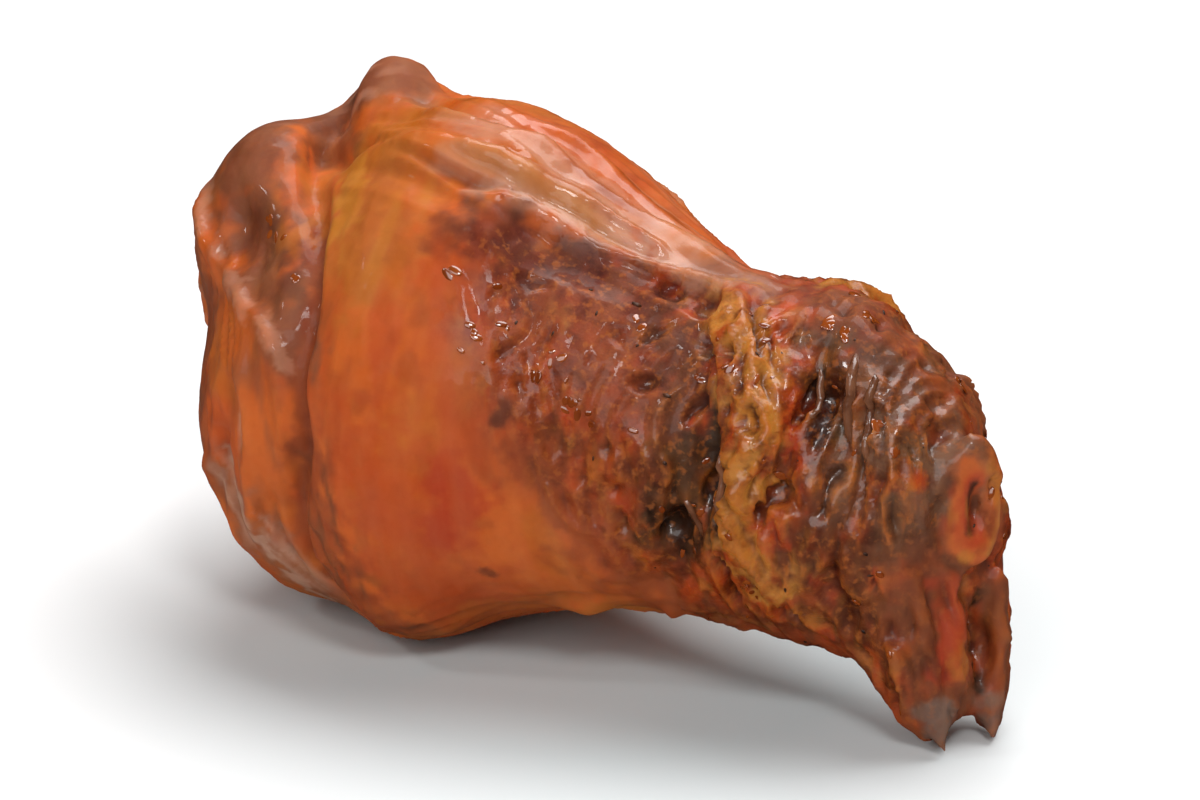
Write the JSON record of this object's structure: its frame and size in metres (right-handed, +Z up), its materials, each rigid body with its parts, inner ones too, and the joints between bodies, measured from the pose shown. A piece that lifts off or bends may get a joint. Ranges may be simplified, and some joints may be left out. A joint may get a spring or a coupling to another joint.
{
  "type": "chicken wing drumette",
  "caption": "Sauced roast chicken drumette lying on its side, plump meat end to one side and bony elbow knuckle with torn skin to the other.",
  "frame": {"origin": "on the surface that the drumette rests on, under the middle of its box", "axes": "+Z up, +X along the bone from the meaty shoulder end to the elbow knuckle, -Y the side that faces the viewer"},
  "size_m": [0.0732, 0.0422, 0.0466],
  "materials": {
    "glazed_skin": "cooked chicken skin and meat in a glossy orange-brown sauce",
    "bone_gristle": "stained bone end and gristle, wet",
    "sauce_drops": "beads and drips of clear amber sauce",
    "char_flecks": "specks of pepper and charred crumbs"
  },
  "bodies": {
    "root": {"wing": "glazed_skin"}
  },
  "joints": []
}
